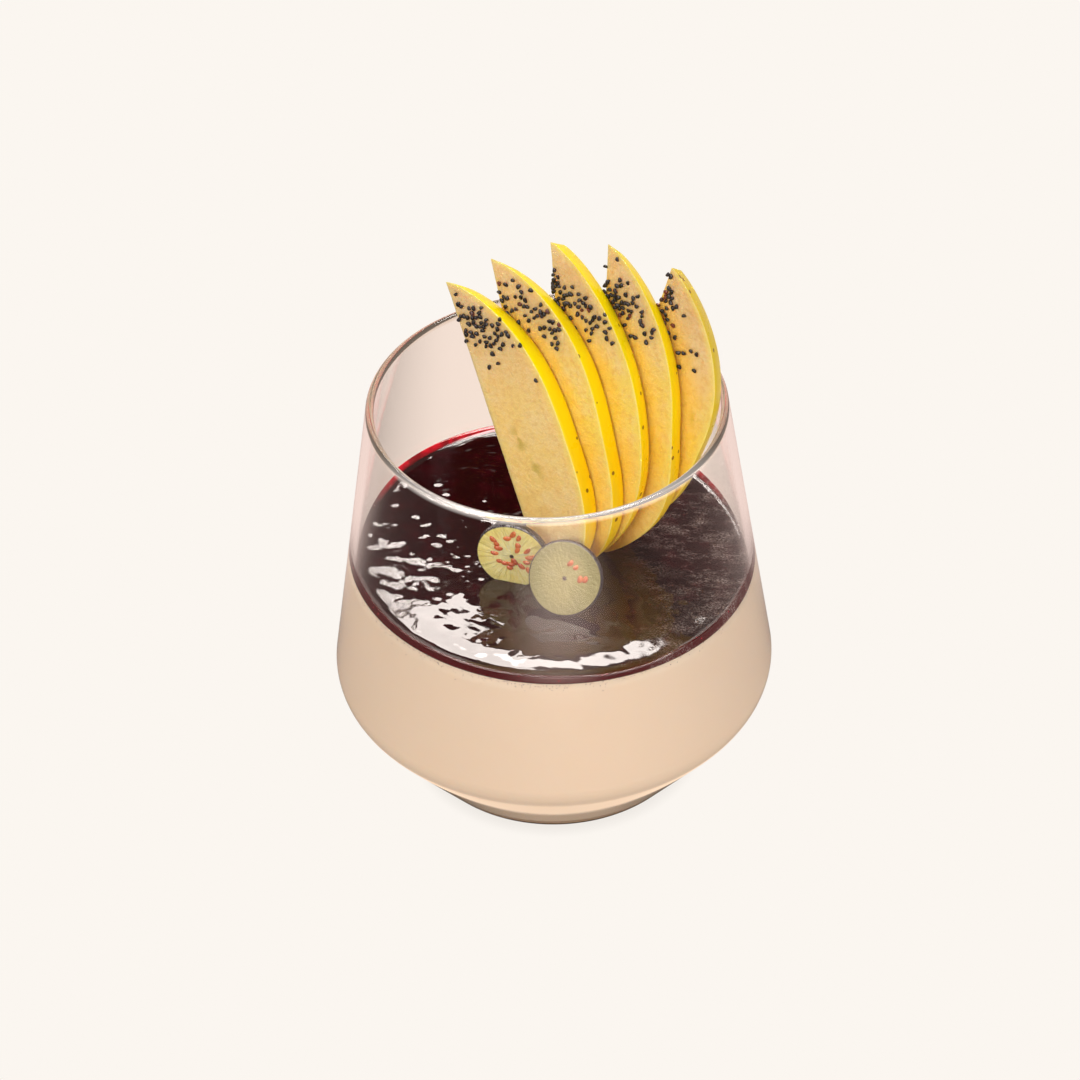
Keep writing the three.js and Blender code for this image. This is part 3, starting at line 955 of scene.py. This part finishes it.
seedPlan = {"length": 0.00056, "width": 0.00041, "height": 0.00034, "bend": -0.45, "spacing": 0.00078,
            "random": 5, "dark": srgb(18, 11, 11), "blue": srgb(40, 33, 38), "brown": srgb(104, 44, 26),
            "pit": srgb(12, 8, 12),
            "clusters": [
                # slice, count, middle along the chord, spread, middle across, spread
                (0, 34, 0.87, 0.035, 0.40, 0.28), (0, 18, 0.81, 0.025, 0.55, 0.25),
                (0, 4, 0.72, 0.03, 0.45, 0.3), (1, 16, 0.87, 0.045, 0.45, 0.3),
                (1, 30, 0.80, 0.04, 0.68, 0.26), (1, 10, 0.84, 0.05, 0.12, 0.1),
                (2, 40, 0.82, 0.028, 0.42, 0.28), (2, 8, 0.88, 0.03, 0.05, 0.06),
                (2, 12, 0.76, 0.04, 0.6, 0.25), (3, 18, 0.87, 0.04, 0.42, 0.28),
                (3, 34, 0.825, 0.028, 0.20, 0.18), (3, 8, 0.77, 0.03, 0.6, 0.25),
                (4, 22, 0.88, 0.045, 0.08, 0.10), (4, 8, 0.83, 0.03, 0.20, 0.14),
                (4, 8, 0.78, 0.04, 0.46, 0.2),
            ]}


def makePoppyMaterial():
    material, nodes, surface = newMaterial("poppySeed")
    tone = nodes.mask("tone")
    pits = nodes.dots(5200)
    color = nodes.mix(nodes.ramp(tone, 0.35, 0.8), seedPlan["dark"], seedPlan["blue"])
    color = nodes.mix(nodes.ramp(tone, 0.93, 0.96), color, seedPlan["brown"])
    # painted shade: darker in the pits of the seed coat
    color = nodes.mix(nodes.ramp(pits, 0.2, 0.6, 0.45, 0.0), color, seedPlan["pit"])
    feed(nodes, surface, color=color, roughness=nodes.ramp(nodes.blobs(4000, 2), 0.3, 0.7, 0.3, 0.5),
         normal=nodes.bump(pits, 0.5, 0.00006), specular=0.35)
    return material


def makePoppySeeds():
    rng = random.Random(seedPlan["random"])
    verts, faces, tones, taken = [], [], [], []
    normal = Vector(plateNormal)
    for index, count, tMid, tSpread, wMid, wSpread in seedPlan["clusters"]:
        placed = tries = 0
        while placed < count and tries < count * 30:
            tries += 1
            t = min(0.975, max(0.1, rng.gauss(tMid, tSpread)))
            w = rng.gauss(wMid, wSpread)
            height, depth = sliceEdges(index, np.array(t), 0)
            if w < -0.06 or w > 1.0 or float(depth) < 0.0008:
                continue
            depth = float(depth) * w if w > 0 else w * 0.004
            spot = Vector(slicePoint(index, float(height), depth, 0.0))
            if any((spot - other).length < seedPlan["spacing"] for other in taken):
                continue
            taken.append(spot)
            a = rng.uniform(0, 2 * math.pi)
            along, up = Vector(plateAlong), Vector(plateUp)
            long = along * math.cos(a) + up * math.sin(a)
            wide = normal.cross(long)
            tipped = (normal + long * rng.uniform(-0.35, 0.35) + wide * rng.uniform(-0.35, 0.35)).normalized()
            long = wide.cross(tipped).normalized()
            wide = tipped.cross(long).normalized()
            size = rng.uniform(0.86, 1.14)
            before = len(verts)
            sizes = (seedPlan["length"] * size, seedPlan["width"] * size, seedPlan["height"] * size)
            middle = spot + normal * seedPlan["height"] * 0.8
            lump(verts, faces, middle, (long, wide, tipped), sizes, seedPlan["bend"], 8, 12)
            tones += [rng.random()] * (len(verts) - before)
            placed += 1
    piece = addPiece("poppySeeds", verts, faces, [makePoppyMaterial()])
    addMask(piece, "tone", tones)
    print("poppy seeds", len(taken))


makePoppySeeds()


speckPlan = {"count": 260, "random": 21, "middle": -112, "spread": 42, "below": 0.0007, "strays": 0.08,
             "size": (0.04, 0.13), "height": 0.05, "color": srgb(88, 52, 66), "pale": srgb(150, 116, 112)}


def makeSpecks():
    rng = random.Random(speckPlan["random"])
    material, nodes, surface = newMaterial("jamSpeck")
    tone = nodes.ramp(nodes.blobs(700, 2), 0.35, 0.65)
    feed(nodes, surface, color=nodes.mix(tone, speckPlan["color"], speckPlan["pale"]), roughness=0.4)
    verts, faces = [], []
    depth = glassPlan["wall"] - creamPlan["reach"]
    for i in range(speckPlan["count"]):
        angle = math.radians(rng.gauss(speckPlan["middle"], speckPlan["spread"]))
        below = abs(rng.gauss(0, speckPlan["below"])) + 0.0002
        if rng.random() < speckPlan["strays"]:
            below += rng.uniform(0.0005, 0.003)
        radius, height = wallMeets("cream", np.array([angle]), depth)
        z = float(height[0]) - below
        r = wallRadius(z, depth)
        out = Vector((math.cos(angle), math.sin(angle), 0))
        side = Vector((-math.sin(angle), math.cos(angle), 0))
        size = rng.uniform(*speckPlan["size"]) * mm * (1.3 if rng.random() < 0.1 else 1)
        lump(verts, faces, out * r + Vector((0, 0, z)), (side, Vector((0, 0, 1)), out),
             (size, size * rng.uniform(0.6, 1.0), speckPlan["height"] * mm), 0.0, 4, 8)
    piece = addPiece("jamSpecks", verts, faces, [material])


makeSpecks()
print("specks made")


# floor and room each have a value for the camera, for mirrored rays and for soft light
stagePlan = {"paper": srgb(251, 246, 240), "contactShade": srgb(238, 233, 227), "contactReach": 0.0035,
             "throughGlass": (0.98, 0.81, 0.71), "sideBoost": 1.02, "leftShade": 0.84, "under": 0.06,
             "floorDim": (0.28, 0.22, 0.20, 1), "floorBright": (5.4, 4.15, 3.75, 1),
             "foot": (1.22, 0.91, 0.66, 1), "underFoot": (0.04, 0.03, 0.025, 1),
             "floorBounce": (0.78, 0.72, 0.67, 1), "halfFloor": 6.0,
             "around": (0.34, 0.29, 0.25, 1), "darkGap": (0.02, 0.018, 0.018, 1),
             "lowCards": (1.3, 1.2, 1.1, 1), "ceiling": (19.5, 17.9, 17.0, 1),
             "roomBounce": (0.40, 0.38, 0.37, 1)}
lightPlans = {
    "softbox": {"place": (-0.130, 0.585, 0.885), "size": (0.42, 0.33), "power": 6.7, "roll": 52,
                "color": (1, 0.915, 0.87)},
    "key": {"place": (-0.70, -0.95, 0.85), "size": (0.7, 0.7), "power": 8.6, "roll": 0,
            "color": (1, 0.95, 0.88)},
    "fill": {"place": (0.8, -0.7, 0.5), "size": (0.9, 0.7), "power": 5.0, "roll": 0,
             "color": (1, 0.96, 0.92)},
}


def addLight(name, plan):
    data = bpy.data.lights.new(name, "AREA")
    data.shape = "RECTANGLE"
    data.size, data.size_y = plan["size"]
    data.energy = plan["power"]
    data.color = plan["color"]
    light = bpy.data.objects.new(name, data)
    bpy.context.scene.collection.objects.link(light)
    light.location = plan["place"]
    way = Vector((0, 0, 0.06)) - light.location
    light.rotation_mode = "QUATERNION"
    roll = Matrix.Rotation(math.radians(plan["roll"]), 3, "Z")
    light.rotation_quaternion = (way.to_track_quat("-Z", "Y").to_matrix() @ roll).to_quaternion()
    light.visible_camera = False


def makeFloor():
    material, nodes, surface = newMaterial("palePaper")
    material.cycles.emission_sampling = "NONE"
    path = nodes.add("ShaderNodeLightPath")
    x, y = nodes.place()[:2]
    near = nodes.add("ShaderNodeAmbientOcclusion", {"Distance": stagePlan["contactReach"]}, samples=16)
    seen = nodes.mix(nodes.ramp(near.outputs["AO"], 0.1, 0.9), stagePlan["contactShade"], stagePlan["paper"])
    # sheet as the glass passes it on: warmer, with painted shade dark under the foot and darker on the left
    aside = nodes.math("ADD", nodes.math("ABSOLUTE", x), nodes.math("MULTIPLY", x, 0.6))
    boost = nodes.ramp(aside, 0.022, 0.048, 1.0, stagePlan["sideBoost"])
    squares = nodes.math("ADD", nodes.math("MULTIPLY", x, x), nodes.math("MULTIPLY", y, y))
    fromAxis = nodes.math("SQRT", squares)
    boost = nodes.math("MULTIPLY", boost, nodes.ramp(fromAxis, 0.030, 0.034, stagePlan["under"], 1.0))
    boost = nodes.math("MULTIPLY", boost, nodes.ramp(x, -0.044, -0.024, stagePlan["leftShade"], 1.0))
    through = nodes.add(
        "ShaderNodeVectorMath", {0: stagePlan["throughGlass"], 3: boost}, operation="SCALE",
    ).outputs[0]
    # sheet as the outer wall mirrors it: bright well in front, dim elsewhere
    front = nodes.ramp(y, -0.120, -0.190)
    middle = nodes.ramp(nodes.math("ABSOLUTE", nodes.math("SUBTRACT", x, 0.015)), 0.10, 0.01)
    behind = nodes.ramp(y, 0.03, 0.08, 0.0, 0.12)
    right = nodes.ramp(x, 0.04, 0.12, 0.0, 0.03)
    mirrored = nodes.math("MAXIMUM", nodes.math("ADD", nodes.math("MULTIPLY", front, middle), right), behind)
    mirrored = nodes.mix(mirrored, stagePlan["floorDim"], stagePlan["floorBright"])
    # and warm close to the foot, where the sloping underside mirrors it
    foot = nodes.math("MULTIPLY", nodes.ramp(fromAxis, 0.0310, 0.0320), nodes.ramp(fromAxis, 0.050, 0.038))
    mirrored = nodes.mix(foot, mirrored, stagePlan["foot"])
    # painted shade: dark right under the foot, for mirrored rays
    mirrored = nodes.mix(nodes.ramp(fromAxis, 0.0318, 0.0310), mirrored, stagePlan["underFoot"])
    color = nodes.mix(path.outputs["Is Diffuse Ray"], mirrored, stagePlan["floorBounce"])
    # rays that went through glass without being mirrored first
    straight = nodes.math("LESS_THAN", path.outputs["Glossy Depth"], 0.5)
    straight = nodes.math("MULTIPLY", path.outputs["Is Transmission Ray"], straight)
    color = nodes.mix(straight, color, through)
    color = nodes.mix(path.outputs["Is Camera Ray"], color, seen)
    feed(nodes, surface, color=(0, 0, 0, 1), roughness=1.0, specular=0.0, glow=color)
    surface.inputs["Emission Strength"].default_value = 1.0
    mesh = bpy.data.meshes.new("floor")
    half = stagePlan["halfFloor"]
    mesh.from_pydata([(-half, -half, 0), (half, -half, 0), (half, half, 0), (-half, half, 0)], [], [(0, 1, 2, 3)])
    mesh.materials.append(material)
    floor = bpy.data.objects.new("floor", mesh)
    bpy.context.scene.collection.objects.link(floor)
    floor.location.z = cadLow.z - 0.00002


def makeWorld():
    world = bpy.data.worlds.new("studio")
    bpy.context.scene.world = world
    world.cycles.sampling_method = "NONE"
    world.use_nodes = True
    world.node_tree.nodes.clear()
    nodes = Nodes(world.node_tree)
    path = nodes.add("ShaderNodeLightPath")
    way = nodes.add("ShaderNodeTexCoord").outputs["Generated"]
    back, up = nodes.add("ShaderNodeSeparateXYZ", {0: way}).outputs[1:]
    # pale cards low all round, a dark gap at the back above them, a lit ceiling that ends overhead
    low = nodes.ramp(up, 0.48, 0.38)
    gap = nodes.math("MULTIPLY", nodes.ramp(back, 0.55, 0.68), nodes.ramp(up, 0.74, 0.70))
    high = nodes.math("MULTIPLY", nodes.ramp(up, 0.86, 0.88), nodes.ramp(up, 0.965, 0.935))
    around = nodes.mix(gap, stagePlan["around"], stagePlan["darkGap"])
    mirrored = nodes.mix(low, around, stagePlan["lowCards"])
    mirrored = nodes.mix(high, mirrored, stagePlan["ceiling"])
    color = nodes.mix(path.outputs["Is Diffuse Ray"], mirrored, stagePlan["roomBounce"])
    color = nodes.mix(path.outputs["Is Camera Ray"], color, stagePlan["paper"])
    glow = nodes.add("ShaderNodeBackground", {"Color": color, "Strength": 1.0})
    output = nodes.add("ShaderNodeOutputWorld")
    nodes.tree.links.new(glow.outputs[0], output.inputs[0])


makeFloor()
makeWorld()
for name, plan in lightPlans.items():
    addLight(name, plan)

scene = bpy.context.scene
scene.view_settings.view_transform = "Standard"
scene.cycles.max_bounces = 16
scene.cycles.transmission_bounces = 12
scene.cycles.transparent_max_bounces = 16
scene.cycles.glossy_bounces = 10
scene.cycles.sample_clamp_indirect = 8
print("stage made")
